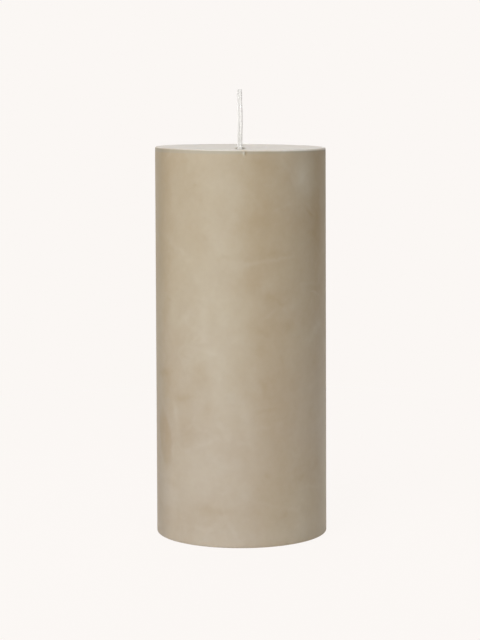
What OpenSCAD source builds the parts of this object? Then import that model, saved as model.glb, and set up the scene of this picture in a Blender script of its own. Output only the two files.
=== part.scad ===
// Pillar candle: a cast wax body with a plaited cotton wick through its middle.
// Millimetres, +Z up. The origin is the middle of the base, on the surface that the candle stands on.

/* [Wax body] */
// Height of the wax, from the base to the flat top
body_h = 160; // [100:1:220]
// Diameter of the wax at its top
top_d = 70; // [50:1:100]
// Draft of the mould, which leaves the base a little wider than the top
draft_deg = 0.15; // [0:0.05:0.5]
// Radius of the soft edge round the top
rim_r = 0.6; // [0.3:0.1:3]
// Radius of the edge round the base
heel_r = 0.7; // [0.3:0.1:3]

/* [Base] */
// Width of the flat ring that the candle stands on
foot_w = 12; // [6:1:20]
// Depth of the shallow dish that shrinking wax leaves inside the ring
dish_depth = 0.8; // [0.2:0.1:2]

/* [Wick channel] */
// Radial clearance between the buried wick and its channel
channel_clearance = 0.05; // [0.02:0.01:0.2]
// Diameter of the dimple round the wick
dimple_d = 5; // [4:0.1:9]
// Depth of the dimple
dimple_depth = 1.2; // [0.4:0.1:3]

/* [Wick] */
// Width of the plait that stands free
wick_w = 2.2; // [1.8:0.1:3]
// Height of the cut tip above the flat top
wick_above = 24.2; // [8:0.1:40]
// Wax film that fills the buried plait out to a round cord
film_t = 0.1; // [0.05:0.05:0.3]
// Sideways bow of the free length, halfway up
wick_bow = 0.2; // [0:0.1:1.5]
// Sideways lean of the cut tip
tip_lean = -0.3; // [-2:0.1:2]

/* [Plait] */
// Diameter of each of the three strands
strand_d = 0.8; // [0.5:0.02:0.9]
// Depth by which two strands press into each other where they cross
strand_press = 0.06; // [0.04:0.01:0.1]
// Height in which a strand swings across the plait and back
plait_pitch = 3.2; // [3:0.1:8]
// Sides of a strand's section
strand_sides = 8; // [6:1:12]
// Slices in one pitch of the plait
slices_per_pitch = 12; // [8:1:16]

/* [Hidden] */

strands = 3;
arc_steps = 8;
dish_steps = 10;
dimple_steps = 8;
strand_root = 0.6;
$fn = 180;

wax_colour = [0.76, 0.7, 0.61];
wick_colour = [0.94, 0.93, 0.9];

base_d = top_d + 2 * body_h * tan(draft_deg);
dish_r = base_d / 2 - heel_r - foot_w;

wick_d = wick_w + 2 * film_t;
channel_r = wick_d / 2 + channel_clearance;
channel_top = body_h - dimple_depth;
wick_top = body_h + wick_above;

swing_across = (wick_w - strand_d) / 2;
swing_through = (strand_d - strand_press) / sqrt(strands);

// Points of an arc, the end point included
function arc(centre, r, from, to) =
    [for (i = [0:arc_steps]) let (a = from + (to - from) * i / arc_steps)
        centre + r * [cos(a), sin(a)]];

// The dish is a shallow bowl, deepest at the wick
function dish_z(r) = dish_depth * (1 - pow(r / dish_r, 2));

function dish_curve() =
    [for (i = [0:dish_steps]) let (r = channel_r + (dish_r - channel_r) * i / dish_steps)
        [r, dish_z(r)]];

// The dimple leaves the flat top and meets the channel on one smooth wave
function dimple_curve() =
    [for (i = [0:dimple_steps]) let (s = i / dimple_steps)
        [dimple_d / 2 + (channel_r - dimple_d / 2) * s,
         body_h - dimple_depth * (1 - cos(180 * s)) / 2]];

// Half section of the wax, from the channel's foot out along the base, up the side and back over the top
function wax_section() = concat(
    dish_curve(),
    arc([base_d / 2 - heel_r, heel_r], heel_r, -90, draft_deg),
    arc([top_d / 2 - rim_r, body_h - rim_r], rim_r, draft_deg, 90),
    dimple_curve()
);

module wax_body() {
    color(wax_colour)
        rotate_extrude()
            polygon(wax_section());
}

// How far up the free length a height is, from 0 at the wax to 1 at the cut tip
function free_share(z) = max(0, (z - channel_top) / (wick_top - channel_top));

// Middle of the plait at a height: upright in the wax, then bowed and leaning
function plait_middle(z) = let (t = free_share(z))
    [wick_bow * pow(sin(180 * t), 3) + tip_lean * t * t, 0];

// Middle of one strand at a height: once across while it goes twice through
function strand_middle(k, z) = let (a = 360 * ((z - channel_top) / plait_pitch + k / strands))
    plait_middle(z) + [swing_across * sin(a), swing_through * sin(2 * a)];

// Sideways travel of a strand for each millimetre up
function strand_slope(k, z) = let (step = plait_pitch / 200)
    (strand_middle(k, z + step) - strand_middle(k, z - step)) / (2 * step);

// Level slice of a round strand: the more it slants, the longer the slice is along the slant
function strand_slice(k, z) =
    let (slope = strand_slope(k, z), stretch = sqrt(1 + slope * slope) - 1, run = norm(slope))
    [for (j = [0:strand_sides - 1])
        let (a = 360 * j / strand_sides, p = strand_d / 2 * [cos(a), sin(a)])
        let (q = run == 0 ? p : p + slope * (slope * p) * stretch / (run * run))
        [each (strand_middle(k, z) + q), z]];

// A solid through a stack of level slices that have the same number of points
module loft(slices) {
    n = len(slices[0]);
    top = len(slices) - 1;
    polyhedron(
        points = [for (s = slices) each s],
        faces = concat(
            [[for (j = [0:n - 1]) j]],
            [for (i = [0:top - 1], j = [0:n - 1]) let (m = (j + 1) % n)
                each [[i * n + j, (i + 1) * n + j, (i + 1) * n + m],
                      [i * n + j, (i + 1) * n + m, i * n + m]]],
            [[for (j = [n - 1:-1:0]) top * n + j]]
        )
    );
}

module strand(k) {
    foot = channel_top - strand_root;
    count = ceil((wick_top - foot) / plait_pitch * slices_per_pitch);
    loft([for (i = [0:count]) strand_slice(k, foot + (wick_top - foot) * i / count)]);
}

module wick() {
    color(wick_colour) {
        translate([0, 0, dish_z(0)])
            cylinder(d = wick_d, h = channel_top - dish_z(0));
        for (k = [0:strands - 1])
            strand(k);
    }
}

wax_body();
wick();
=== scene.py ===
# %% [markdown]
# # Dressing a pillar candle
#
# The real object is a plain pillar candle: one block of cast beige wax with a plaited cotton wick
# through its middle. Its sizes were settled in CAD, and this lesson adds what the eye reads as wax
# and cotton. It could be done with two primitives and two flat colours, but then neither the soft
# rim, the mottled wax nor the plait would be there. So both pieces are grown again in finer form,
# on the sizes of the solids, and the plain solids step aside.

import math

import bpy
from mathutils import Matrix, Vector


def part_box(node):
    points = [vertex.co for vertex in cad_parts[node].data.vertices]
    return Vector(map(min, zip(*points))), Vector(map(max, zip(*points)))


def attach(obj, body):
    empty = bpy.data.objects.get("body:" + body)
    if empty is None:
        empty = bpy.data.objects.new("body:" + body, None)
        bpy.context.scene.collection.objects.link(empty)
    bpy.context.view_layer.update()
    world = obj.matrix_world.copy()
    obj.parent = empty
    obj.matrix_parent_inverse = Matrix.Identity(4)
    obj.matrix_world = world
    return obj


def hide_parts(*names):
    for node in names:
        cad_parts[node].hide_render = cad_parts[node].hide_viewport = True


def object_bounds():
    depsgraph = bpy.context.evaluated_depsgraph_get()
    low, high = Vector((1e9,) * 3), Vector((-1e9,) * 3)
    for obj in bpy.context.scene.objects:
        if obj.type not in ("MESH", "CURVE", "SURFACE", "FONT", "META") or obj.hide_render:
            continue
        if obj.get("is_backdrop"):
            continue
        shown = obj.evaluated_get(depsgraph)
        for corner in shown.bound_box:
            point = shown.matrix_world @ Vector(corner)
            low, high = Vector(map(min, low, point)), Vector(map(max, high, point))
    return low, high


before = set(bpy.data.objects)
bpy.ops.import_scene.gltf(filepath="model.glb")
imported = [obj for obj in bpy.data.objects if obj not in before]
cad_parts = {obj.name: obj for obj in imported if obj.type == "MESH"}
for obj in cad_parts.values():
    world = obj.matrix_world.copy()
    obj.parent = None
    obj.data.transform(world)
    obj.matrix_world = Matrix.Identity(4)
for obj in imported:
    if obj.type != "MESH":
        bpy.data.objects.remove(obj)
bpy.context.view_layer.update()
MM = 0.001


# %% [markdown]
# ## Short words for long node code
#
# Every node needs three steps: make it, set it, and wire it. Written out, a tree of fifty nodes
# fills pages. These helpers take a value or another node's socket in the same place, so that a
# line of code reads like a line of arithmetic.

# %% Make a node and wire it
def plug(tree, socket, value):
    """Gives a socket a plain value, or wires another node's output to it."""
    if isinstance(value, bpy.types.NodeSocket):
        tree.links.new(value, socket)
    else:
        socket.default_value = value


def wire(tree, node, inputs):
    """Plugs a node's inputs, each by its name or its number."""
    for name, value in dict(inputs).items():
        plug(tree, node.inputs[name], value)


def add(tree, kind, inputs=(), **settings):
    """A new node with its settings and its inputs."""
    node = tree.nodes.new(kind)
    for name, value in settings.items():
        setattr(node, name, value)
    wire(tree, node, inputs)
    return node


print("helpers for nodes ready")


# %% Sums with numbers
def calc(tree, operation, *values):
    """One step of arithmetic on numbers."""
    return add(tree, "ShaderNodeMath", enumerate(values), operation=operation).outputs[0]


def times(tree, first, *others):
    """All its numbers multiplied, from left to right."""
    for other in others:
        first = calc(tree, "MULTIPLY", first, other)
    return first


def plus(tree, first, *others):
    """All its numbers added, from left to right."""
    for other in others:
        first = calc(tree, "ADD", first, other)
    return first


def fade(tree, value, start, end, low=0.0, high=1.0):
    """A smooth step from low, at start, to high, at end."""
    inputs = {"Value": value, "From Min": start, "From Max": end, "To Min": low, "To Max": high}
    return add(tree, "ShaderNodeMapRange", inputs, interpolation_type="SMOOTHSTEP").outputs[0]


print("helpers for numbers ready")


# %% Sums with vectors, and noise
def vector(tree, operation, *values):
    """One step of arithmetic on vectors. SCALE takes a vector and a number."""
    if operation == "SCALE":
        inputs = {0: values[0], "Scale": values[1]}
    else:
        inputs = dict(enumerate(values))
    node = add(tree, "ShaderNodeVectorMath", inputs, operation=operation)
    return node.outputs["Value" if operation in ("LENGTH", "DOT_PRODUCT") else "Vector"]


def xyz(tree, x=0.0, y=0.0, z=0.0):
    """Three numbers as one vector."""
    return add(tree, "ShaderNodeCombineXYZ", {"X": x, "Y": y, "Z": z}).outputs[0]


def split(tree, value):
    """One vector as three numbers."""
    return add(tree, "ShaderNodeSeparateXYZ", {0: value}).outputs


def noise(tree, place, size, detail=2.0, roughness=0.5, seed=0.0):
    """Noise from 0 to 1 whose patches are about size metres across."""
    inputs = {"W": seed, "Scale": 1 / size, "Detail": detail, "Roughness": roughness}
    inputs["Vector"] = place
    return add(tree, "ShaderNodeTexNoise", inputs, noise_dimensions="4D").outputs


print("helpers for vectors ready")


# %% [markdown]
# ## Growing a mesh from a tree
#
# Geometry Nodes give back an evaluated result, which lives only as long as the modifier does. The
# export wants plain meshes, so the result is copied into a mesh of its own and the modifier goes.
# The inputs are set by their identifiers, before the object is looked at for the first time.

# %% The two ends of a tree
def new_tree(name, inputs):
    """An empty tree with named inputs, each (name, kind, value), and its two ends."""
    tree = bpy.data.node_groups.new(name, "GeometryNodeTree")
    face = tree.interface
    face.new_socket("Geometry", in_out="INPUT", socket_type="NodeSocketGeometry")
    face.new_socket("Geometry", in_out="OUTPUT", socket_type="NodeSocketGeometry")
    for label, kind, value in inputs:
        socket = face.new_socket(label, in_out="INPUT", socket_type=f"NodeSocket{kind}")
        if value is not None:
            socket.default_value = value
    start = tree.nodes.new("NodeGroupInput")
    end = tree.nodes.new("NodeGroupOutput")
    return tree, start.outputs, end.inputs[0]


def moved(tree, geometry, **by):
    """The geometry with its points at a Position, or moved by an Offset."""
    return add(tree, "GeometryNodeSetPosition", {"Geometry": geometry, **by}).outputs[0]


def close_tree(tree, geometry, material, end):
    """Ends a tree with smooth faces, real geometry in place of instances, and a material."""
    smooth = add(tree, "GeometryNodeSetShadeSmooth", {"Geometry": geometry})
    plain = add(tree, "GeometryNodeRealizeInstances", {0: smooth.outputs[0]})
    inputs = {0: plain.outputs[0], "Material": material}
    plug(tree, end, add(tree, "GeometryNodeSetMaterial", inputs).outputs[0])
    print(f"{tree.name}: {len(tree.nodes)} nodes")


print("helpers for trees ready")


# %% From a tree to a plain mesh
def put(name, data):
    """A new object with this data, linked to the scene."""
    thing = bpy.data.objects.new(name, data)
    bpy.context.scene.collection.objects.link(thing)
    return thing


def grow(name, tree, values, points=()):
    """Runs a tree on an object made of loose points and keeps what comes out as a plain mesh."""
    seed = bpy.data.meshes.new(name + "_points")
    seed.from_pydata([tuple(p) for p in points], [], [])
    piece = put(name, seed)
    modifier = piece.modifiers.new(tree.name, "NODES")
    modifier.node_group = tree
    for item in tree.interface.items_tree:
        if item.in_out == "INPUT" and item.name in values:
            modifier[item.identifier] = values[item.name]
    depsgraph = bpy.context.evaluated_depsgraph_get()
    grown = bpy.data.meshes.new_from_object(
        piece.evaluated_get(depsgraph), preserve_all_data_layers=True, depsgraph=depsgraph
    )
    piece.modifiers.remove(modifier)
    grown.materials.clear()
    grown.materials.append(values["Material"])
    piece.data = grown
    grown.name = name
    grown.calc_loop_triangles()
    print(f"{name}: {len(grown.vertices)} points, {len(grown.loop_triangles)} triangles")
    return piece


print("helpers for pieces ready")


# %% [markdown]
# ## The wax in section
#
# A cast candle is a turned shape, so one half section says it all. The mould's draft makes the
# base a little wider than the top. The rim is soft, the base has a shallow dish inside a flat ring,
# and the wick leaves through a small dimple. Wax shrinks as it sets, last of all in the middle, so
# the top also sinks by a little under a millimetre from the rim to the wick. The solid leaves that
# out. The section is closed along the wick's channel, so the turned mesh has no pole and no seam to
# hide.

# %% Sizes, in millimetres and degrees
BODY_H = 160.0
TOP_R = 35.0
DRAFT = 0.15
BASE_R = TOP_R + BODY_H * math.tan(math.radians(DRAFT))
RIM_R, HEEL_R = 0.6, 0.7
FOOT_W, DISH_DEPTH = 12.0, 0.8
DISH_R = BASE_R - HEEL_R - FOOT_W
CHANNEL_R = 1.25
DIMPLE_R, DIMPLE_DEPTH = 2.5, 1.2
CHANNEL_TOP = BODY_H - DIMPLE_DEPTH  # in the solid, where the plait starts to be counted
SINK, SUNK_CHANNEL_TOP = 0.9, 158.2
WICK_TOP = 184.2
_, wax_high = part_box("wax_body")
print(f"base radius {BASE_R:.3f}, in the solid {wax_high.x / MM:.3f}")


# %% The stretches of the half section
# Each stretch gives a radius and a height for s from 0, its start, to 1, its end.
def dish(s):
    r = CHANNEL_R + (DISH_R - CHANNEL_R) * s
    return r, DISH_DEPTH * (1 - (r / DISH_R) ** 2)


def foot_ring(s):
    return DISH_R + FOOT_W * s, 0.0


def arc(r, z, radius, start, end):
    """A stretch that bends round (r, z), with its angles in degrees."""

    def stretch(s):
        a = math.radians(start + (end - start) * s)
        return r + radius * math.cos(a), z + radius * math.sin(a)

    return stretch


def side(s):
    """The outside, with its points closer together towards the rim."""
    s = 0.6 * s + 0.4 * math.sin(math.pi * s / 2)
    z = HEEL_R + (BODY_H - RIM_R - HEEL_R) * s
    return BASE_R + (TOP_R - BASE_R) * z / BODY_H, z


def top(s):
    r = TOP_R - RIM_R + (DIMPLE_R - TOP_R + RIM_R) * s
    return r, BODY_H - SINK * (1 - (r / (TOP_R - RIM_R)) ** 2)


def dimple(s):
    edge = top(1)[1]
    drop = (edge - SUNK_CHANNEL_TOP) * (1 - math.cos(math.pi * s)) / 2
    return DIMPLE_R + (CHANNEL_R - DIMPLE_R) * s, edge - drop


def channel(s):
    return CHANNEL_R, SUNK_CHANNEL_TOP + (DISH_DEPTH - SUNK_CHANNEL_TOP) * s


print("the side ends at", [round(v, 3) for v in side(1)])

# %% The half section
heel = arc(BASE_R - HEEL_R, HEEL_R, HEEL_R, -90, 0)
rim = arc(TOP_R - RIM_R, BODY_H - RIM_R, RIM_R, 0, 90)
STRETCHES = [
    (22, dish),
    (5, foot_ring),
    (8, heel),
    (168, side),
    (10, rim),
    (34, top),
    (10, dimple),
    (6, channel),
]
section = [stretch(i / count) for count, stretch in STRETCHES for i in range(count)]
section.append(section[0])
print(len(section), "points in the section")

# %% [markdown]
# ## Turning the section
#
# A lathe could be Blender's Screw modifier, but a tree can also crowd the segments on the side that
# a viewer meets first, and shape the wax while it turns. A flat grid is wrapped round the axis: its
# rows read the section's points and its columns are angles.

# %% The wax tree and its sizes
SEGMENTS = 320
wax_tree, given, finished = new_tree(
    "turned_wax",
    [
        ("Segments", "Int", SEGMENTS),
        ("Crowding", "Float", 0.7),
        ("Wave depth", "Float", 0.06 * MM),
        ("Wave size", "Float", 22 * MM),
        ("Rim wander", "Float", 0.12 * MM),
        ("Top slope", "Float", 0.009),
        ("Climb height", "Float", 0.55 * MM),
        ("Climb place", "Vector", (-0.4 * MM, 3.2 * MM, 159.0 * MM)),
        ("Bead height", "Float", 0.38 * MM),
        ("Bead place", "Vector", (1.5 * MM, -TOP_R * MM, 158.5 * MM)),
        ("Bead size", "Vector", (0.75 * MM, 1.0, 1.3 * MM)),
        ("Material", "Material", None),
    ],
)
print("turned_wax has", len(wax_tree.interface.items_tree), "sockets")

# %% A grid that reads the section
t = wax_tree
rows = add(t, "GeometryNodeAttributeDomainSize", {0: given["Geometry"]}).outputs["Point Count"]
columns = plus(t, given["Segments"], 1.0)
sheet = add(t, "GeometryNodeMeshGrid", {"Vertices X": columns, "Vertices Y": rows})
number = add(t, "GeometryNodeInputIndex").outputs[0]
row = calc(t, "MODULO", number, rows)
column = calc(t, "FLOOR", calc(t, "DIVIDE", number, rows))
place = add(t, "GeometryNodeInputPosition").outputs[0]
read = add(
    t,
    "GeometryNodeSampleIndex",
    {"Geometry": given["Geometry"], "Value": place, "Index": row},
    data_type="FLOAT_VECTOR",
)
radius, _, height = split(t, read.outputs[0])
print("the grid reads the section")

# %% Wrap it round the axis
WELD = 1e-6
turn = times(t, calc(t, "DIVIDE", column, given["Segments"]), math.tau)
turn = calc(t, "SUBTRACT", turn, times(t, calc(t, "SINE", turn), given["Crowding"]))
wrapped = xyz(
    t,
    times(t, radius, calc(t, "SINE", turn)),
    times(t, calc(t, "COSINE", turn), -1.0, radius),
    height,
)
turned = moved(t, sheet.outputs[0], Position=wrapped)
inputs = {"Geometry": turned, "Distance": WELD}
welded = add(t, "GeometryNodeMergeByDistance", inputs).outputs[0]
print("the section is wrapped and welded")

# %% [markdown]
# ## The wax's small faults
#
# Poured wax is never quite true. The side waves slowly by less than a tenth of a millimetre, the
# rim wanders, the top slopes to one side, a little wax has climbed up behind the wick, and one bead
# ran over the edge and set just below it. They could be sculpted by hand, but as a few moves in the
# tree each of them stays a number that can be changed.

# %% A slow waviness
place = add(t, "GeometryNodeInputPosition").outputs[0]
x, y, z = split(t, place)
outward = vector(t, "NORMALIZE", xyz(t, x, y))
from_axis = vector(t, "LENGTH", xyz(t, x, y))
clear_of_foot = fade(t, z, 1.2 * MM, 8 * MM)
clear_of_wick = fade(t, from_axis, 3 * MM, 9 * MM)
scale = calc(t, "DIVIDE", 1.0, given["Wave size"])
inputs = {"Vector": place, "W": 3.0, "Scale": scale, "Detail": 1.5}
slow = add(t, "ShaderNodeTexNoise", inputs, noise_dimensions="4D").outputs[0]
waves = times(t, clear_of_foot, clear_of_wick, slow, given["Wave depth"], -1.0)
normal = add(t, "GeometryNodeInputNormal").outputs[0]
waved = moved(t, welded, Offset=vector(t, "SCALE", normal, waves))
print("waves added")

# %% The worn rim, the slope and the climbed wax
RIM_SHARE = -0.7
near_rim = times(
    t, fade(t, z, 158.2 * MM, 159.6 * MM), fade(t, from_axis, 33.4 * MM, 34.6 * MM)
)
wander = noise(t, vector(t, "SCALE", outward, TOP_R * MM), 9 * MM, detail=3.0, seed=8.0)[0]
worn = times(t, wander, near_rim, given["Rim wander"], RIM_SHARE)
worn = vector(t, "SCALE", vector(t, "ADD", outward, (0.0, 0.0, 1.0)), worn)
slope = times(t, x, given["Top slope"], fade(t, z, 150 * MM, 159 * MM))
behind = vector(t, "LENGTH", vector(t, "SUBTRACT", place, given["Climb place"]))
climb = times(t, fade(t, behind, 4.2 * MM, 1.5 * MM), given["Climb height"])
worn = vector(t, "ADD", worn, xyz(t, z=calc(t, "SUBTRACT", climb, slope)))
rimmed = moved(t, waved, Offset=worn)
print("rim and top shaped")

# %% The bead below the rim
away = vector(t, "SUBTRACT", place, given["Bead place"])
away = vector(t, "LENGTH", vector(t, "DIVIDE", away, given["Bead size"]))
on_the_side = fade(t, from_axis, 34 * MM, 34.9 * MM)
swell = times(t, fade(t, away, 1.0, 0.15), on_the_side, given["Bead height"])
beaded = moved(t, rimmed, Offset=vector(t, "SCALE", outward, swell))
close_tree(t, beaded, given["Material"], finished)


# %% [markdown]
# ## Mottled wax
#
# Stearin in the wax sets into pale veins and darker clouds, a few millimetres to two centimetres
# across, and no two sides of a candle agree. One noise alone looks like fog. Here noises of three
# sizes are added up (clouds, flecks and grains) with thin veins along the borders of large cells,
# and a set of marks with a place and a size in millimetres, which are the ones that give this
# candle its face. Most marks are tone in the wax, and a few are painted light and shade, as their
# tables say. A mark is measured along the wax: `u` is the way round from the front, to the
# right, and `v` the height. Marks belong to the side alone, because on the top they would run
# together in spokes.

# %% One mark as a node group
def mark_group():
    """A soft spot or a bent vein at (u, v) in mm. It halves at 0.7 of its size, and a higher
    Edge makes it crisp."""
    tree = bpy.data.node_groups.new("wax_mark", "ShaderNodeTree")
    placed = ("U", "V", "Middle U", "Middle V")
    shaped = ("Length", "Width", "Turn", "Bend", "Strength", "Edge")
    for label in placed + shaped:
        tree.interface.new_socket(label, in_out="INPUT", socket_type="NodeSocketFloat")
    tree.interface.new_socket("Tone", in_out="OUTPUT", socket_type="NodeSocketFloat")
    g = tree.nodes.new("NodeGroupInput").outputs
    du = calc(tree, "SUBTRACT", g["U"], g["Middle U"])
    dv = calc(tree, "SUBTRACT", g["V"], g["Middle V"])
    cosine, sine = calc(tree, "COSINE", g["Turn"]), calc(tree, "SINE", g["Turn"])
    along = plus(tree, times(tree, du, cosine), times(tree, dv, sine))
    across = calc(tree, "SUBTRACT", times(tree, dv, cosine), times(tree, du, sine))
    across = calc(tree, "SUBTRACT", across, times(tree, along, along, g["Bend"]))
    squares = [
        calc(tree, "POWER", calc(tree, "ABSOLUTE", calc(tree, "DIVIDE", way, size)), 2.0)
        for way, size in ((along, g["Length"]), (across, g["Width"]))
    ]
    far = calc(tree, "POWER", times(tree, plus(tree, *squares), 2.0), g["Edge"])
    soft = calc(tree, "EXPONENT", times(tree, far, -math.log(2)))
    plug(tree, tree.nodes.new("NodeGroupOutput").inputs[0], times(tree, soft, g["Strength"]))
    return tree


wax_mark = mark_group()
print("mark group:", len(wax_mark.nodes), "nodes")

# %% Marks: broad fields
# Each is (u, v, half length, half width, turn in degrees, bend per mm, strength). A strength of 1
# makes the wax an eighth paler, and below 0 it is darker. An eighth number above 1 crisps the
# border.
FIELDS = [
    (-12, 92, 90, 20, 90, 0, 0.9),
    (-9, 133, 30, 9, 91, 0, 0.35),
    (14, 58, 62, 11, 90, 0, -0.6),
    (9, 118, 46, 8, 90, 0, -0.4),
    (8, 132, 15, 9, 90, 0, -0.6),
    (10, 155, 7, 8, 0, 0, -0.85),
    # Partly painted shade along the left edge.
    (-38, 130, 42, 9, 90, 0, -0.65, 2),
    (-38.5, 42, 16, 7.5, 101, 0, -0.95, 4),
    (38, 131, 11, 8, 90, 0, -1.0),
    (39, 153, 10, 8, 90, 0, -0.8),
    (38, 108, 30, 6, 90, 0, -0.4),
    # Painted floor light on the lower right edge.
    (46, 30, 50, 9, 90, 0, 0.8),
    (28, 8, 16, 7, 0, 0, 0.4),
    (29, 149, 11, 6, 80, 0, 1.5),
    (37, 122, 16, 4, 90, 0, -0.45),
    (10, 102, 10, 5, 90, 0, 0.5),
    (19, 95, 8, 4, 60, 0, 0.35),
    (0, 70, 12, 4, 90, 0, -0.5),
    (-8, 139, 7, 5, 90, 0, -0.35),
    (-20, 22, 12, 10, 0, 0, 0.4),
    (-6, 34, 8, 6, 0, 0, 0.35),
    # Painted highlight along the heel.
    (0, 3, 40, 5, 0, 0, 0.35),
    (-31, 156, 10, 7, 0, 0, -0.5),
    (24, 18, 11, 8, 0, 0, 0.6),
    (11, 108, 6, 5, 0, 0, 0.4),
    (10, 34, 7, 6, 0, 0, 0.4),
    (-18, 121, 9, 5, 90, 0, -0.3),
    (20, 140, 7, 5, 90, 0, 0.35),
    (-36, 64, 9, 6, 90, 0, -0.8),
    (-35, 19, 8, 7, 0, 0, 0.7),
    (37, 140, 6, 6, 0, 0, -0.4),
    (26, 4, 20, 5, 0, 0, 0.4),
]
print(len(FIELDS), "broad fields")

# %% Marks: where the bead left the rim, and painted light and shade on its two flanks
BEAD_NOTCH_AND_PAINTED_FLANKS = [
    (0.9, 159.9, 1.3, 0.6, 0, 0, -1.5),
    # Painted highlight on the bead's left flank, which faces the light.
    (1.0, 158.6, 1.3, 0.5, 90, 0, 3.0),
    # Painted shade on the bead's right flank.
    (1.95, 158.8, 1.1, 0.6, 90, 0, -1.6),
]
print(len(BEAD_NOTCH_AND_PAINTED_FLANKS), "marks at the bead")

# %% Marks: pale streaks
STREAKS = [
    (-34, 124, 5, 2.2, -18, 0, 0.51),
    (-27, 119.5, 8, 1.3, -26, 0, 0.51),
    (-24, 115.8, 5, 0.96, -12, 0.01, 0.34),
    (-9, 122, 4.5, 3.8, 60, 0, 0.34),
    (-3.5, 135, 12, 2.6, 84, 0.012, 0.34),
    (-1, 143, 4, 2.6, 60, 0, 0.34),
    (-3, 114, 5, 2.9, 0, 0, 0.47),
    (5, 115.2, 9, 1.3, 3, 0.006, 0.64),
    (17, 116.4, 8, 1.1, 6, 0, 0.42),
    (14, 135, 3, 1.7, -40, 0, 0.42),
    (26, 150, 4.0, 4.8, 0, 0, 0.68),
    (31, 136, 3, 2.4, -40, 0, 0.34),
    (20, 97.5, 6, 1.9, 12, 0, 0.3),
    (11.5, 94, 5, 1.2, 40, 0, 0.38),
    (28, 103, 3, 4.8, 0, 0, 0.26),
    (38.5, 88, 5, 4.1, 70, 0, 0.68),
    (33, 84, 6, 2.4, 38, 0, 0.68),
    (36, 101.6, 4.5, 0.6, -14, 0, 0.68),
    (-25, 92.5, 7, 2, 32, 0, 0.59),
    (-20.5, 89, 6, 1.6, -35, 0, 0.42),
    (-15, 95, 12, 2.9, 95, 0.003, 0.34),
    (-15.5, 84.5, 3, 1.9, 60, 0, 0.42),
    (-6, 91.5, 3.4, 1.6, 40, 0, 0.34),
    (-18, 108.5, 3, 1.9, -50, 0, 0.42),
    (-2, 84.5, 3, 1.9, 0, 0, 0.34),
    (-24, 76, 5, 3.6, 70, 0, 0.38),
    (-12, 79, 4, 2.4, 30, 0, 0.26),
    (-30.5, 53, 9, 1.9, 100, 0, 0.59),
    (-9, 67, 6, 1.4, 85, 0, 0.3),
    (0.5, 56, 7, 2.2, 100, 0, 0.51),
    (3.5, 45, 10, 1.9, 96, 0, 0.34),
    (-8.5, 49.5, 3, 1.7, -40, 0, 0.42),
    (-5, 44.5, 2.4, 1.9, 80, 0, 0.42),
    (1, 43, 4, 1.2, 0, 0, 0.3),
    (-15, 42.5, 9, 1.4, 20, -0.01, 0.55),
    (-17, 35, 7, 7.2, 0, 0, 0.26),
    (9, 48.5, 3, 1.4, 0, 0, 0.34),
    (15.5, 49, 2.6, 1.9, 60, 0, 0.34),
    (12, 63.5, 5, 2.6, -20, 0, 0.3),
    (34, 22, 9, 0.96, -6, 0, 0.42),
    (22, 15.5, 4, 1.2, 40, 0, 0.38),
    (27, 8, 6, 3.6, 60, 0, 0.42),
    (1.5, 20, 4, 2.6, 80, 0, 0.3),
    (-14, 7.2, 12, 1.1, -3, 0, 0.38),
]
print(len(STREAKS), "pale streaks")

# %% Marks: darker spots
SPOTS = [
    (5, 107, 6, 5.5, 0, 0, -0.43),
    (12, 101, 3.6, 2.6, 30, 0, -0.66),
    (16, 99, 4, 1.1, -25, 0, -0.47),
    (19.5, 89, 3.2, 2.9, 20, 0, -0.71),
    (5, 90, 3, 4.4, 0, 0, -0.38),
    (9, 87, 2.4, 1.1, -50, 0, -0.43),
    (8, 80, 4, 3.3, 60, 0, -0.47),
    (17.5, 75.5, 2.4, 1.3, 90, 0, -0.47),
    (9.5, 65, 6, 1.8, 115, 0, -0.57),
    (10, 56, 6, 1.1, 4, 0, -0.38),
    (-19, 146, 1.3, 1.1, 0, 0, -0.66),
    (-15.5, 126, 1.8, 1.8, 0, 0, -0.47),
    (-16, 140, 2.4, 1.3, 90, 0, -0.33),
    (-7, 117, 2.6, 1.5, 0, 0, -0.57),
    (13, 119, 2.6, 1.8, 0, 0, -0.47),
    (18, 127, 2, 2.9, 0, 0, -0.28),
    (31.5, 134.5, 3.4, 0.88, -32, 0, -0.76),
    (37.5, 103.5, 4.5, 2.2, -10, 0, -0.47),
    (-34.5, 99.3, 2.0, 1.3, 0, 0, -0.57),
    (-37.5, 92, 3, 4.4, 0, 0, -0.47),
    (-17, 68, 6.5, 5.1, 75, 0, -0.71),
    (-17.5, 72.8, 2.4, 1.8, 20, 0, -0.57),
    (-24, 76.5, 2.4, 0.88, -30, 0, -0.57),
    (-26, 60, 7, 2.2, 6, 0, -0.85),
    (-23, 47, 6, 5.5, 0, 0, -0.33),
    (-13.5, 56, 2, 3.3, 0, 0, -0.38),
    (-39, 69, 6, 1.8, 6, 0, -0.85),
    (-14, 15.5, 5, 2.9, -8, 0, -0.71),
    (-8, 15, 5, 1.8, 6, 0, -0.38),
    (-33, 24, 5, 2.2, 0, 0, -0.38),
    (10.5, 29.5, 1.6, 1.3, 0, 0, -0.47),
    (25.5, 27, 4.5, 1.4, 12, 0, -0.47),
    (18, 12, 2, 1.3, 30, 0, -0.47),
    (37, 32, 3, 3.3, 0, 0, -0.33),
    (33, 53, 2.4, 4.4, 0, 0, -0.33),
    (35.5, 73, 2.4, 2.2, 0, 0, -0.47),
]
print(len(SPOTS), "darker spots")

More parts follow.
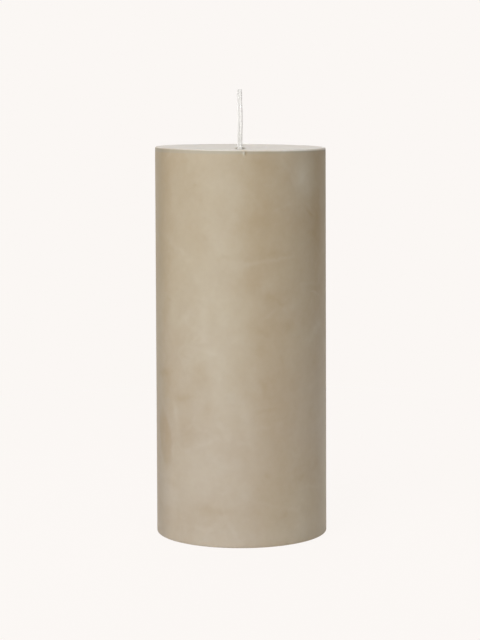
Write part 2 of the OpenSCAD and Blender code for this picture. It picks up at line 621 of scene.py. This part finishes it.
# %% Marks: the back
BACK_MARKS = [
    (72, 60, 70, 14, 90, 0, 0.5),
    (88, 118, 20, 11, 80, 0, -0.7),
    (64, 131, 12, 2.0, 24, 0.006, 0.6),
    (80, 88, 10, 1.4, -30, 0.01, 0.6),
    (66, 38, 7, 4.5, 40, 0, -0.7),
    (92, 30, 12, 1.6, 14, -0.008, 0.6),
    (58, 78, 5, 3.2, 0, 0, -0.6),
    (-66, 96, 60, 13, 90, 0, 0.5),
    (-88, 60, 70, 12, 90, 0, -0.6),
    (-62, 44, 9, 1.5, 30, 0.01, 0.6),
    (-78, 134, 8, 5, 60, 0, -0.6),
    (-92, 104, 13, 1.6, -22, 0.006, 0.7),
    (-70, 72, 4.5, 3.0, 20, 0, -0.7),
    (-84, 22, 9, 5, 0, 0, 0.5),
    (98, 66, 5, 3.4, 70, 0, -0.6),
]
MARKS = FIELDS + BEAD_NOTCH_AND_PAINTED_FLANKS + STREAKS + SPOTS + BACK_MARKS
print(len(BACK_MARKS), "marks on the back,", len(MARKS), "in all")


# %% Colours and materials
def srgb(red, green, blue):
    """A colour as a paint chart gives it, 0 to 255, as the linear colour that shaders want."""

    def linear(c):
        c /= 255
        return c / 12.92 if c <= 0.04045 else ((c + 0.055) / 1.055) ** 2.4

    return linear(red), linear(green), linear(blue), 1.0


def new_material(name):
    """A material with its tree and its shader."""
    material = bpy.data.materials.new(name)
    material.use_nodes = True
    return material, material.node_tree, material.node_tree.nodes["Principled BSDF"]


def blend(tree, share, first, second, mode="MIX"):
    """Lays the second colour over the first by a share. In a Mix node for colours the share is
    input 0, the two colours are 6 and 7, and the result is output 2."""
    inputs = {0: share, 6: first, 7: second}
    node = add(tree, "ShaderNodeMix", inputs, data_type="RGBA", blend_type=mode)
    return node.outputs[2]


print("mid grey is", round(srgb(128, 128, 128)[0], 3), "in linear light")

# %% The wax's colours
# The two multipliers make any of the others deeper and warmer, or paler and greyer.
WAX_WARM = srgb(191, 173, 142)
# WAX_GREY, the tint at the base, is partly painted light thrown up by the pale floor.
WAX_GREY = srgb(193, 176, 150)
WAX_PALER = (1.242, 1.395, 1.704, 1)
WAX_DEEPER = (0.805, 0.717, 0.586, 1)
WAX_TOP = srgb(191, 181, 164)
# Painted light: the two cream colours are a painted highlight on the rim's rounding, and the two
# colours after them are painted shade, under the rim and in the dimple round the wick.
WAX_RIM_HIGHLIGHT = srgb(216, 205, 187)
WAX_RIM_HIGHLIGHT_RIGHT = srgb(234, 224, 206)
WAX_SHADE = srgb(179, 170, 150)
WAX_DIMPLE_SHADE = srgb(180, 170, 152)
# Black is laid thinly over the side as painted shade.
BLACK = (0, 0, 0, 1)
print("warm wax is", [round(c, 3) for c in WAX_WARM[:3]], "in linear light")

# %% The marks in the wax material
# A ripple shifts every mark by up to a millimetre or so, which makes its border uneven.
GIRTH_R, RIPPLE = 35.2, 5.0
wax, t, wax_shader = new_material("mottled_wax")
place = add(t, "ShaderNodeTexCoord").outputs["Object"]
x, y, z = split(t, place)
ripple = noise(t, place, 7 * MM, detail=4.0, roughness=0.6, seed=1.0)["Color"]
ripple = vector(t, "SCALE", vector(t, "SUBTRACT", ripple, (0.5, 0.5, 0.5)), RIPPLE)
shift_u, shift_v, _ = split(t, ripple)
angle = calc(t, "ARCTAN2", x, times(t, y, -1.0))
u = plus(t, times(t, angle, GIRTH_R), shift_u)
v = plus(t, calc(t, "DIVIDE", z, MM), shift_v)
spots = []
for middle_u, middle_v, length, width, turn, bend, strength, *crisp in MARKS:
    spot = add(t, "ShaderNodeGroup", node_tree=wax_mark)
    edge = crisp[0] if crisp else 1.0
    values = (u, v, middle_u, middle_v, length, width, math.radians(turn), bend, strength, edge)
    wire(t, spot, enumerate(values))
    spots.append(spot.outputs[0])
marked = plus(t, *spots)
print("marks wired:", len(spots))

# %% [markdown]
# ## Where the wax changes tone, and where light is painted
#
# Darker wax is also warmer, because light goes deeper into it, so the mottling slides between two
# multipliers instead of adding grey. The base leans to grey and the upper part to honey, and the
# foot is paler; both are partly the wax's tone and partly painted light thrown up by the pale
# floor.
# The poured top is paler and a little glossier than the side that the mould pressed. Its rounded
# edge has a painted cream highlight with a thin painted shade under it, and the dimple round the
# wick is painted in shade. From both edges seen from the front round to the back, the side is
# painted a shade darker, where it turns away from the light.

# %% Clouds, flecks, grains and veins
clouds = noise(t, place, 16 * MM, detail=3.0, roughness=0.55, seed=5.0)[0]
flecks = noise(t, place, 6 * MM, detail=2.0, seed=14.0)[0]
grains = noise(t, place, 2.4 * MM, detail=3.0, seed=9.0)[0]
clouds, flecks, grains = (calc(t, "SUBTRACT", part, 0.5) for part in (clouds, flecks, grains))
bent = vector(t, "ADD", place, vector(t, "SCALE", ripple, 1.1 * MM))
cells = add(
    t,
    "ShaderNodeTexVoronoi",
    {"Vector": bent, "Scale": 1 / (20 * MM), "Randomness": 1.0},
    feature="DISTANCE_TO_EDGE",
)
patchy = fade(t, noise(t, place, 24 * MM, detail=1.0, seed=12.0)[0], 0.48, 0.62)
vein = times(t, fade(t, cells.outputs[0], 0.07, 0.0), patchy)
from_axis = vector(t, "LENGTH", xyz(t, x, y))
on_side = fade(t, from_axis, 32.5 * MM, 34.4 * MM)
print("noises ready")

# %% How pale and how warm the wax is
MARK_WEIGHT, TONE_REACH = 0.65, 0.3
tone = times(t, on_side, MARK_WEIGHT, marked)
for part, weight in ((clouds, 1.2), (flecks, 0.5), (grains, 0.55), (vein, 0.18)):
    tone = plus(t, tone, times(t, part, weight))
# Paler towards the foot: painted light thrown up by the pale floor.
tone = plus(t, tone, fade(t, z, 14 * MM, 2 * MM, 0.0, 0.2))
share = plus(t, 0.5, times(t, tone, TONE_REACH))
low_right = times(t, fade(t, x, 0.0, 20 * MM), fade(t, z, 50 * MM, 15 * MM, 0.0, 0.7))
# Grey at the base and honey higher up: partly the wax's tone, partly painted floor light.
warmth = plus(t, fade(t, z, 20 * MM, 130 * MM), times(t, clouds, 0.8), low_right)
print("tone and warmth ready")

# %% Colour, from the side to the top
# Painted shade: a thin grey line on the side just under the rim's rounding.
painted_shade_under_rim = times(t, fade(t, z, 157.8 * MM, 159.0 * MM), 0.6)
# Painted shade: black laid over the side, up to 0.16, from both edges seen from the front round to
# the back, where the side turns away from the light.
high = fade(t, z, 60 * MM, 100 * MM)
right = calc(t, "MAXIMUM", times(t, fade(t, u, 42, 58), high), fade(t, u, 60, 100))
painted_edge_shade = times(t, calc(t, "MAXIMUM", fade(t, u, -31, -45), right), on_side, 0.16)
# Painted highlight: a cream line on the rim's rounding, painted brighter towards the right.
rim_highlight_level = plus(t, z, times(t, x, 0.015))
on_rim_highlight = fade(t, rim_highlight_level, 159.22 * MM, 159.5 * MM)
rim_highlight = blend(t, fade(t, x, -22 * MM, 18 * MM), WAX_RIM_HIGHLIGHT, WAX_RIM_HIGHLIGHT_RIGHT)
near_top = fade(t, z, 150 * MM, 155 * MM)
poured = times(t, near_top, fade(t, from_axis, 34.5 * MM, 33.0 * MM))
# Painted shade in the dimple round the wick.
painted_dimple_shade = times(t, near_top, fade(t, from_axis, 2.5 * MM, 1.7 * MM))
tints = blend(t, warmth, WAX_GREY, WAX_WARM)
layers = (
    (painted_shade_under_rim, WAX_SHADE),
    (painted_edge_shade, BLACK),
    (on_rim_highlight, rim_highlight),
    (poured, WAX_TOP),
    (painted_dimple_shade, WAX_DIMPLE_SHADE),
)
for cover, colour in layers:
    tints = blend(t, cover, tints, colour)
deep = blend(t, 1.0, tints, WAX_DEEPER, "MULTIPLY")
pale = blend(t, 1.0, tints, WAX_PALER, "MULTIPLY")
colour = blend(t, share, deep, pale)
print("colours laid over each other:", len(layers))

# %% The wax's surface
skin = calc(t, "SUBTRACT", plus(t, 0.56, times(t, clouds, 0.25)), times(t, poured, 0.14))
fine = noise(t, place, 0.9 * MM, detail=4.0, roughness=0.6, seed=2.0)[0]
relief = plus(t, times(t, fine, 0.3), noise(t, place, 5 * MM, seed=4.0)[0])
bump = add(t, "ShaderNodeBump", {"Strength": 0.25, "Distance": 0.08 * MM, "Height": relief})
wire(
    t,
    wax_shader,
    {
        "Base Color": colour,
        "Roughness": skin,
        "IOR": 1.44,
        "Specular IOR Level": plus(t, 0.25, times(t, poured, 0.25)),
        "Subsurface Weight": 0.12,
        "Subsurface Radius": (1.0, 0.7, 0.45),
        "Subsurface Scale": 3.0 * MM,
        "Normal": bump.outputs[0],
    },
)
print("wax material:", len(t.nodes), "nodes")

# %% Turn the wax
points = [(r * MM, 0.0, z * MM) for r, z in section]
wax_body = grow("wax_body_cast", wax_tree, {"Material": wax}, points)
print("materials on it:", [m.name for m in wax_body.data.materials])

# %% [markdown]
# ## A plaited wick
#
# The wick is a flat plait of three strands, and each strand is a bundle of cotton yarns laid side
# by side with a slight twist. In a flat plait a strand swings once across the width while it passes
# twice through the thickness, so its middle draws a sine across and a sine of double speed through.
# Modelling every yarn by hand would be hopeless. In the tree one straight line is copied once for
# each yarn, and a few sums move each copy to its place in its strand.

# %% The wick tree and its sizes
STRANDS, YARNS = 3, 9
wick_tree, given, finished = new_tree(
    "plaited_wick",
    [
        ("From", "Float", 157.0 * MM),
        ("To", "Float", 183.1 * MM),
        ("Rings", "Int", 220),
        ("Plait pitch", "Float", 3.2 * MM),
        ("Swing across", "Float", 0.70 * MM),
        ("Swing through", "Float", 0.36 * MM),
        ("Set aside", "Float", -0.24 * MM),
        ("Bow", "Float", 0.18 * MM),
        ("Lean", "Float", -0.14 * MM),
        ("Flare", "Float", 0.16),
        ("Strand width", "Float", 0.345 * MM),
        ("Strand depth", "Float", 0.18 * MM),
        ("Rounding", "Float", 0.075 * MM),
        ("Yarn radius", "Float", 0.125 * MM),
        ("Yarn twist pitch", "Float", 9.0 * MM),
        ("Fibres", "Float", 0.35e6),
        ("Tip fibres", "Float", 2.5e6),
        ("Seed", "Int", 4),
        ("Material", "Material", None),
    ],
)
print("plaited_wick has", len(wick_tree.interface.items_tree), "sockets")

# %% One line for each yarn
t = wick_tree
ends = {"Start": xyz(t, z=given["From"]), "End": xyz(t, z=given["To"])}
line = add(t, "GeometryNodeCurvePrimitiveLine", ends)
rings = add(t, "GeometryNodeResampleCurve", {"Curve": line.outputs[0], "Count": given["Rings"]})
copies = add(
    t,
    "GeometryNodeDuplicateElements",
    {"Geometry": rings.outputs[0], "Amount": STRANDS * YARNS},
    domain="SPLINE",
)
copy = copies.outputs["Duplicate Index"]
strand = calc(t, "FLOOR", calc(t, "DIVIDE", copy, float(YARNS)))
yarn = calc(t, "MODULO", copy, float(YARNS))
print(STRANDS * YARNS, "lines")

# %% The middle of each strand
_, _, z = split(t, add(t, "GeometryNodeInputPosition").outputs[0])
free = calc(t, "SUBTRACT", z, CHANNEL_TOP * MM)
phase = plus(t, calc(t, "DIVIDE", free, given["Plait pitch"]), calc(t, "DIVIDE", strand, 3.0))
phase = times(t, phase, math.tau)
double = times(t, phase, 2.0)
up = calc(t, "DIVIDE", free, (WICK_TOP - CHANNEL_TOP) * MM)
up = calc(t, "MAXIMUM", up, 0.0)
bow = calc(t, "SINE", times(t, calc(t, "MINIMUM", up, 1.0), math.pi))
bow = times(t, given["Bow"], calc(t, "POWER", bow, 3.0))
lean = times(t, up, up, given["Lean"])
flare = plus(t, 1.0, times(t, given["Flare"], fade(t, up, 0.945, 0.995)))
across = times(t, given["Swing across"], calc(t, "SINE", phase), flare)
through = times(t, given["Swing through"], calc(t, "SINE", double))
aside = times(t, given["Set aside"], fade(t, z, 158.0 * MM, 160.0 * MM))
aside = plus(t, bow, lean, aside)
middle = xyz(t, plus(t, across, aside), through, z)
print("strands plaited")

# %% The way that each strand heads
per_metre = calc(t, "DIVIDE", math.tau, given["Plait pitch"])
slope_x = times(t, given["Swing across"], calc(t, "COSINE", phase), per_metre)
slope_y = times(t, given["Swing through"], calc(t, "COSINE", double), per_metre, 2.0)
heading = vector(t, "NORMALIZE", xyz(t, slope_x, slope_y, 1.0))
sideways = vector(t, "NORMALIZE", vector(t, "CROSS_PRODUCT", (0.0, 1.0, 0.0), heading))
inward = vector(t, "CROSS_PRODUCT", heading, sideways)
print("strands have a heading")

# %% Each yarn's place in its strand
STRAND_OFFSET = 0.21
lay = plus(
    t,
    calc(t, "DIVIDE", yarn, float(YARNS)),
    calc(t, "DIVIDE", z, given["Yarn twist pitch"]),
    times(t, strand, STRAND_OFFSET),
)
lay = times(t, lay, math.tau)
rounding = times(t, calc(t, "POWER", calc(t, "SINE", phase), 2.0), given["Rounding"])
wide = calc(t, "SUBTRACT", given["Strand width"], rounding)
deep = plus(t, given["Strand depth"], rounding)
spread = vector(
    t,
    "ADD",
    vector(t, "SCALE", sideways, times(t, wide, calc(t, "COSINE", lay))),
    vector(t, "SCALE", inward, times(t, deep, calc(t, "SINE", lay))),
)
laid = moved(t, copies.outputs[0], Position=vector(t, "ADD", middle, spread))
print("yarns laid")

# %% Yarn thickness, and a coordinate that runs along each yarn
yarn_way = xyz(t, copy, 0.0, calc(t, "DIVIDE", z, MM))
uneven = noise(t, yarn_way, 1.2, detail=1.0, seed=6.0)[0]
thick = times(t, given["Yarn radius"], fade(t, uneven, 0.25, 0.75, 0.9, 1.12))
noted = add(
    t,
    "GeometryNodeStoreNamedAttribute",
    {"Geometry": laid, "Name": "yarn_way", "Value": yarn_way},
    data_type="FLOAT_VECTOR",
    domain="POINT",
)


def tube(tree, curve, sides, radius, **scale):
    """A curve given a round profile, with its ends filled."""
    inputs = {"Resolution": sides, "Radius": radius}
    profile = add(tree, "GeometryNodeCurvePrimitiveCircle", inputs, mode="RADIUS")
    inputs = {"Curve": curve, "Profile Curve": profile.outputs[0], "Fill Caps": True, **scale}
    return add(tree, "GeometryNodeCurveToMesh", inputs).outputs[0]


YARN_SIDES = 7
yarns = tube(t, noted.outputs[0], YARN_SIDES, 1.0, Scale=thick)
print("yarns rounded")

# %% [markdown]
# ## Loose fibres
#
# Cotton always sheds a few fibres, and the cut tip frays. They soften the wick's outline. Points
# are strewn over the yarns, thicker near the tip, and each carries one thin bent fibre of a few
# faces.

# %% One fibre, and points to carry it
FIBRE_SIDES, FIBRE_R = 3, 0.011 * MM
FIBRE_BEND = {
    "Resolution": 4,
    "Start": (0, 0, 0),
    "Middle": (0, 0.05 * MM, 0.16 * MM),
    "End": (0, 0.26 * MM, 0.2 * MM),
}
bend = add(t, "GeometryNodeCurveQuadraticBezier", FIBRE_BEND)
fibre = tube(t, bend.outputs[0], FIBRE_SIDES, FIBRE_R)
_, _, z = split(t, add(t, "GeometryNodeInputPosition").outputs[0])
at_tip = fade(t, z, 182.6 * MM, 183.8 * MM)
density = plus(t, given["Fibres"], times(t, at_tip, given["Tip fibres"]))
strewn = add(
    t,
    "GeometryNodeDistributePointsOnFaces",
    {"Mesh": yarns, "Density": density, "Seed": given["Seed"]},
    distribute_method="RANDOM",
)
print("fibres strewn")

# %% Turn, stretch and join the fibres
TILT_LOW, TILT_HIGH = (-0.5, -0.5, -math.pi), (0.5, 0.5, math.pi)
tilt = add(
    t,
    "FunctionNodeRandomValue",
    {0: TILT_LOW, 1: TILT_HIGH, "Seed": given["Seed"]},
    data_type="FLOAT_VECTOR",
)
lie = add(
    t,
    "FunctionNodeRotateRotation",
    {"Rotation": strewn.outputs["Rotation"], "Rotate By": tilt.outputs[0]},
    rotation_space="LOCAL",
)
inputs = {2: 0.7, 3: 1.5, "Seed": given["Seed"]}
long = add(t, "FunctionNodeRandomValue", inputs, data_type="FLOAT")
fuzz = add(
    t,
    "GeometryNodeInstanceOnPoints",
    {
        "Points": strewn.outputs["Points"],
        "Instance": fibre,
        "Rotation": lie.outputs[0],
        "Scale": long.outputs[1],
    },
)
both = add(t, "GeometryNodeJoinGeometry")
for half in (fuzz.outputs[0], yarns):
    t.links.new(half, both.inputs[0])
close_tree(t, both.outputs[0], given["Material"], finished)

# %% [markdown]
# ## Cotton
#
# Bleached cotton is nearly white, dull, and made of fibres that run along each yarn with a slight
# twist. The tree has stored how far along its yarn each point lies, so the material can stretch a
# fine noise along that way, and the fibres follow the plait instead of cutting across it.
# Subsurface light would be the usual choice, but in yarns that pass through each other it gets lost
# and the wick turns dark. A rough diffuse surface gives the same soft white.

# %% The cotton material
COTTON_SHADE, COTTON_WHITE = (0.94, 0.93, 0.91, 1), (1.0, 0.995, 0.98, 1)
cotton, t, cotton_shader = new_material("waxed_cotton")
way = add(t, "ShaderNodeAttribute", attribute_name="yarn_way").outputs["Vector"]
x, y, _ = split(t, add(t, "ShaderNodeTexCoord").outputs["Object"])
along = times(t, split(t, way)[2], 0.12)
lines = xyz(t, calc(t, "DIVIDE", x, MM), calc(t, "DIVIDE", y, MM), along)
strands = noise(t, lines, 0.06, detail=3.0, roughness=0.6, seed=7.0)[0]
patches = noise(t, way, 3.0, detail=2.0, seed=11.0)[0]
shade = plus(t, times(t, strands, 0.6), times(t, patches, 0.4))
bump = add(t, "ShaderNodeBump", {"Strength": 0.5, "Distance": 0.03 * MM, "Height": strands})
wire(
    t,
    cotton_shader,
    {
        "Base Color": blend(t, shade, COTTON_SHADE, COTTON_WHITE),
        "Roughness": 0.8,
        "Diffuse Roughness": 1.0,
        "Normal": bump.outputs[0],
    },
)
print("cotton material:", len(t.nodes), "nodes")

# %% Plait the wick, and its cut foot
wick = grow("wick_plait", wick_tree, {"Material": cotton})
CUT_FOOT = {"From": 0.8 * MM, "To": 2.0 * MM, "Rings": 7, "Fibres": 0.0, "Tip fibres": 0.0}
foot = grow("wick_foot", wick_tree, {"Material": cotton, **CUT_FOOT})


# %% The round cord between them
def cord(name, outline, material, sides=32):
    """A round cord turned from (radius, height) points in mm, closed at both ends."""
    rings = [(r, z) for r, z in outline if r > 0]
    corners = [(0.0, 0.0, outline[0][1] * MM)]
    for r, z in rings:
        for i in range(sides):
            a = math.tau * i / sides
            corners.append((r * MM * math.cos(a), r * MM * math.sin(a), z * MM))
    corners.append((0.0, 0.0, outline[-1][1] * MM))
    last = 1 + (len(rings) - 1) * sides
    faces = []
    for i in range(sides):
        j = (i + 1) % sides
        faces.append((0, 1 + j, 1 + i))
        for low in range(1, last, sides):
            faces.append((low + i, low + j, low + sides + j, low + sides + i))
        faces.append((last + i, last + j, len(corners) - 1))
    mesh = bpy.data.meshes.new(name)
    mesh.from_pydata(corners, [], faces)
    mesh.shade_smooth()
    mesh.materials.append(material)
    return put(name, mesh)


CORD_R, CORD_LOW, CORD_RUN, CORD_STEPS = 1.2, 1.2, 156.4, 12
shaft = [(CORD_R, CORD_LOW + CORD_RUN * i / CORD_STEPS) for i in range(CORD_STEPS + 1)]
low_end = [(0, 1.0), (1.0, 1.0), (1.15, 1.05)]
high_end = [(1.12, 157.7), (0.9, 157.8), (0, 157.8)]
core = cord("wick_core", low_end + shaft + high_end, cotton)
print("wick_core:", len(core.data.polygons), "faces")

# %% [markdown]
# ## Tying the pieces to the candle
#
# The candle is one rigid body, so every piece rides on `root`. The turned wax stands for the plain
# solid of the wax, and the three parts of the wick stand for the solid of the wick.

# %% Ride and replace
for part in (wax_body, wick, foot, core):
    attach(part, "root")
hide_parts("wax_body")
for part in (wick, foot, core):
    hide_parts("wick")
print("pieces:", [p.name for p in (wax_body, wick, foot, core)])

# %% [markdown]
# ## A pale ground
#
# The candle was photographed on a ground so evenly lit that it has one single tone. A camera ray
# that meets the floor or the world sees that tone, and the floor still takes a faint share of real
# light, so that the candle has a soft shadow to stand in. Light that goes on to the candle meets an
# ordinary white floor.

# %% A disc for a floor
GROUND = srgb(251, 247, 244)
FLOOR_R, FLOOR_SIDES = 4.0, 96
turns = [math.tau * i / FLOOR_SIDES for i in range(FLOOR_SIDES)]
corners = [(FLOOR_R * math.cos(a), FLOOR_R * math.sin(a), 0.0) for a in turns]
mesh = bpy.data.meshes.new("floor")
mesh.from_pydata(corners, [], [tuple(range(FLOOR_SIDES))])
floor = put("floor", mesh)
print("floor:", 2 * FLOOR_R, "m across")


# %% Its paint, which shows one tone
def seen_by_eye(tree):
    """1 for rays from the camera, and for what gloss or glass shows of the background."""
    path = add(tree, "ShaderNodeLightPath").outputs
    seen = calc(tree, "MAXIMUM", path["Is Camera Ray"], path["Is Glossy Ray"])
    return calc(tree, "MAXIMUM", seen, path["Is Transmission Ray"])


# Close to the candle 4.5% of real light shows, and the glow makes up for it.
NEAR, FAR = 0.05, 0.4
NEAR_GLOW, NEAR_HIDE = 1.021, 0.955
paint, t, floor_shader = new_material("pale_floor")
white = {"Base Color": (0.9, 0.88, 0.86, 1), "Roughness": 0.9, "Specular IOR Level": 0.0}
wire(t, floor_shader, white)
far = vector(t, "LENGTH", add(t, "ShaderNodeTexCoord").outputs["Object"])
strength = fade(t, far, NEAR, FAR, NEAR_GLOW, 1.0)
glow = add(t, "ShaderNodeEmission", {"Color": GROUND, "Strength": strength})
hide = times(t, seen_by_eye(t), fade(t, far, NEAR, FAR, NEAR_HIDE, 1.0))
mix = add(t, "ShaderNodeMixShader", {0: hide, 1: floor_shader.outputs[0], 2: glow.outputs[0]})
t.links.new(mix.outputs[0], t.nodes["Material Output"].inputs["Surface"])
floor.data.materials.append(paint)
floor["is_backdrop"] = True
print("ground tone:", [round(c, 3) for c in GROUND[:3]])

# %% The room round it
AMBIENT = 0.16
world = bpy.data.worlds.new("pale_room")
world.use_nodes = True
t = world.node_tree
room = add(t, "ShaderNodeBackground", {"Color": (1, 1, 1, 1), "Strength": AMBIENT})
back = add(t, "ShaderNodeBackground", {"Color": GROUND, "Strength": 1.0})
mix = add(t, "ShaderNodeMixShader", {0: seen_by_eye(t), 1: room.outputs[0], 2: back.outputs[0]})
t.links.new(mix.outputs[0], t.nodes["World Output"].inputs["Surface"])
bpy.context.scene.world = world
print("light from all sides:", AMBIENT)

# %% [markdown]
# ## Soft light from the front left
#
# The wax is brightest about a quarter of the way in from its left edge and falls off slowly to the
# right, with no hard terminator. That is a large soft source at the front left, a room that sends
# light back from everywhere, and soft boxes above and behind. Two very small lamps follow: one low
# on the right lifts the lower edge, and a narrow one is meant for the wick, which the photo shows
# almost as bright as the ground behind it.

# %% Softboxes
def softbox(name, azimuth, elevation, distance, width, height, watts, aim=0.08, spread=180):
    """A rectangular lamp aimed at the axis, at the height aim. Angles are in degrees. Azimuth 0
    is the camera's side, positive to the right."""
    lamp = bpy.data.lights.new(name, "AREA")
    lamp.shape, lamp.size, lamp.size_y, lamp.energy = "RECTANGLE", width, height, watts
    lamp.spread = math.radians(spread)
    box = put(name, lamp)
    a, e = math.radians(azimuth), math.radians(elevation)
    out = Vector((math.sin(a) * math.cos(e), -math.cos(a) * math.cos(e), math.sin(e)))
    box.location = Vector((0, 0, aim)) + out * distance
    box.rotation_euler = (-out).to_track_quat("-Z", "Y").to_euler()
    return box


lamps = [
    softbox("key", -29, 25, 1.6, 1.0, 1.2, 15.0),
    softbox("overhead", 0, 90, 1.6, 1.2, 1.2, 7.0),
    softbox("back", 180, 40, 1.8, 1.2, 1.2, 6.0),
    softbox("low", 55, 6, 0.8, 0.15, 0.15, 0.008, aim=0.0, spread=26),
    softbox("wick_light", -29, 8, 0.5, 0.02, 0.02, 0.0003, aim=0.171, spread=4.4),
]
print("lamps:", [(b.name, b.data.energy) for b in lamps])

# %% [markdown]
# ## The camera
#
# The picture was taken from just above the rim with a long lens. The place, the tilt and the lens
# come from the rim's ellipse and the slight convergence of the sides. Blender's camera looks down
# its own -Z, so it is stood up by 90 degrees less the tilt, and then rolled by a fraction of a
# degree.

# %% Camera
SENSOR, PICTURE_H, FOCAL_PIXELS = 36.0, 640, 2063.3
EYE = (0, -0.8487, 0.1893)
LOOK_DOWN, ROLL, PAN = math.radians(90 - 6.782), math.radians(-0.227), 0.0005
camera = bpy.data.cameras.new("camera")
camera.sensor_width, camera.lens = SENSOR, FOCAL_PIXELS / PICTURE_H * SENSOR
camera.clip_start, camera.clip_end = 0.01, 20.0
eye = put("camera", camera)
pan = Matrix.Rotation(PAN, 4, "Z")
tilt = Matrix.Rotation(LOOK_DOWN, 4, "X")
roll = Matrix.Rotation(ROLL, 4, "Z")
eye.matrix_world = Matrix.Translation(EYE) @ pan @ tilt @ roll
bpy.context.scene.camera = eye
view = bpy.context.scene.view_settings
view.view_transform = "Standard"
print("lens:", round(camera.lens, 1), "mm")

# %% [markdown]
# ## The dressed candle's box
#
# The dressed candle has to fill the same box as the solids, so its box is printed before the script
# is closed.

# %% Sizes and finish
low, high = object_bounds()
print("visual box in mm:", [round(v / MM, 2) for v in (*low, *high)])
